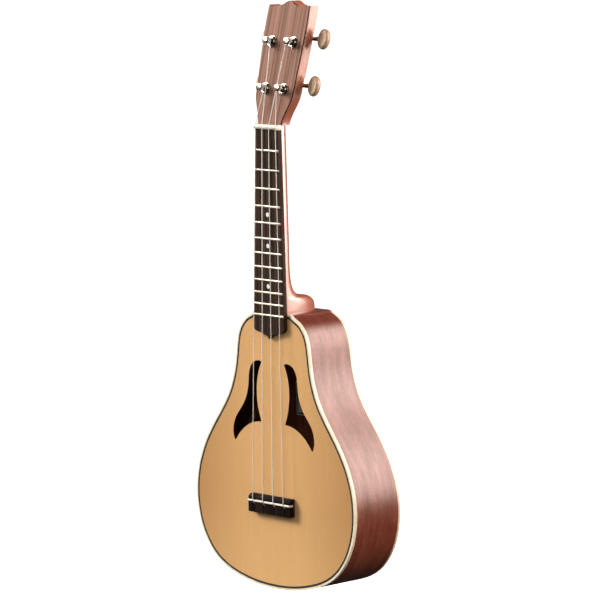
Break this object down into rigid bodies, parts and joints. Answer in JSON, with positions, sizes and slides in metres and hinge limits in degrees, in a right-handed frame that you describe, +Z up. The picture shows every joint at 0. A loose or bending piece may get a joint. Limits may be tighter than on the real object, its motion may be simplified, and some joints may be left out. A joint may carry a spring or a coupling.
{
  "type": "ukulele",
  "caption": "Pear-bodied soprano ukulele with paired wing-shaped sound holes and open-gear side tuners that turn.",
  "frame": {"origin": "in the yoke of a wall hanger: on the centre line, half way through the headstock, where the hanger's arms carry the flare of the headstock", "axes": "+Z up along the strings to the headstock, +Y from the soundboard to the back, +X to the player's treble side seen from the front"},
  "size_m": [0.216, 0.0708, 0.553],
  "materials": {
    "spruce": "gloss lacquer, straight grain",
    "mahogany": "gloss lacquer",
    "inner_wood": "bare",
    "veneer_rosewood": "gloss lacquer",
    "dark_rosewood": "oiled satin",
    "cream_binding": "gloss",
    "black_purfling": "gloss",
    "label_paper": "plain paper",
    "fret_wire": "polished nickel silver",
    "pearl": "gloss",
    "white_nut": "polished",
    "nickel": "polished nickel",
    "gear_brass": "bright",
    "button_cream": "gloss",
    "string_nylon": "clear white"
  },
  "bodies": {
    "instrument": {"soundboard": "spruce", "back_plate": "mahogany", "rib_left": "mahogany", "rib_right": "mahogany", "front_binding": "cream_binding", "front_purfling": "black_purfling", "back_binding": "cream_binding", "front_linings": "inner_wood", "back_linings": "inner_wood", "neck_block": "inner_wood", "tail_block": "inner_wood", "front_braces": "inner_wood", "fan_braces": "inner_wood", "bridge_patch": "inner_wood", "back_braces": "inner_wood", "paper_label": "label_paper", "neck": "mahogany", "headstock_veneer": "veneer_rosewood", "fingerboard": "dark_rosewood", "frets": "fret_wire", "fret_markers": "pearl", "nut": "white_nut", "bridge": "dark_rosewood", "saddle": "white_nut", "bushing_nuts": "nickel", "bushing_washers": "nickel", "plate_screws": "nickel", "string_g": "string_nylon", "tuner_plate_g": "nickel", "string_c": "string_nylon", "tuner_plate_c": "nickel", "string_e": "string_nylon", "tuner_plate_e": "nickel", "string_a": "string_nylon", "tuner_plate_a": "nickel"},
    "key_g": {"worm_shaft_g": "nickel", "tuner_button_g": "button_cream"},
    "post_g": {"tuner_post_g": "nickel", "tuner_gear_g": "gear_brass", "gear_screw_g": "nickel", "string_winding_g": "string_nylon"},
    "key_c": {"worm_shaft_c": "nickel", "tuner_button_c": "button_cream"},
    "post_c": {"tuner_post_c": "nickel", "tuner_gear_c": "gear_brass", "gear_screw_c": "nickel", "string_winding_c": "string_nylon"},
    "key_e": {"worm_shaft_e": "nickel", "tuner_button_e": "button_cream"},
    "post_e": {"tuner_post_e": "nickel", "tuner_gear_e": "gear_brass", "gear_screw_e": "nickel", "string_winding_e": "string_nylon"},
    "key_a": {"worm_shaft_a": "nickel", "tuner_button_a": "button_cream"},
    "post_a": {"tuner_post_a": "nickel", "tuner_gear_a": "gear_brass", "gear_screw_a": "nickel", "string_winding_a": "string_nylon"}
  },
  "joints": [
    {"name": "key_turn_g", "type": "hinge", "parent": "instrument", "child": "key_g", "pos_m": [-0.012, 0.01728, 0.01608], "axis": [-1, 0, 0], "continuous": true},
    {"name": "post_turn_g", "type": "hinge", "parent": "instrument", "child": "post_g", "pos_m": [-0.012, 0.00019, 0.01298], "axis": [0, -0.9694, 0.2453], "continuous": true},
    {"name": "key_turn_c", "type": "hinge", "parent": "instrument", "child": "key_c", "pos_m": [-0.0142, 0.02817, 0.05913], "axis": [-1, 0, 0], "continuous": true},
    {"name": "post_turn_c", "type": "hinge", "parent": "instrument", "child": "post_c", "pos_m": [-0.0142, 0.01108, 0.05602], "axis": [0, -0.9694, 0.2453], "continuous": true},
    {"name": "key_turn_e", "type": "hinge", "parent": "instrument", "child": "key_e", "pos_m": [0.0142, 0.02817, 0.05913], "axis": [1, 0, 0], "continuous": true},
    {"name": "post_turn_e", "type": "hinge", "parent": "instrument", "child": "post_e", "pos_m": [0.0142, 0.01108, 0.05602], "axis": [0, -0.9694, 0.2453], "continuous": true},
    {"name": "key_turn_a", "type": "hinge", "parent": "instrument", "child": "key_a", "pos_m": [0.012, 0.01728, 0.01608], "axis": [1, 0, 0], "continuous": true},
    {"name": "post_turn_a", "type": "hinge", "parent": "instrument", "child": "post_a", "pos_m": [0.012, 0.00019, 0.01298], "axis": [0, -0.9694, 0.2453], "continuous": true}
  ],
  "couplings": [
    {"joint": "post_turn_g", "follows": "key_turn_g", "ratio": 0.071429},
    {"joint": "post_turn_c", "follows": "key_turn_c", "ratio": 0.071429},
    {"joint": "post_turn_e", "follows": "key_turn_e", "ratio": 0.071429},
    {"joint": "post_turn_a", "follows": "key_turn_a", "ratio": 0.071429}
  ]
}
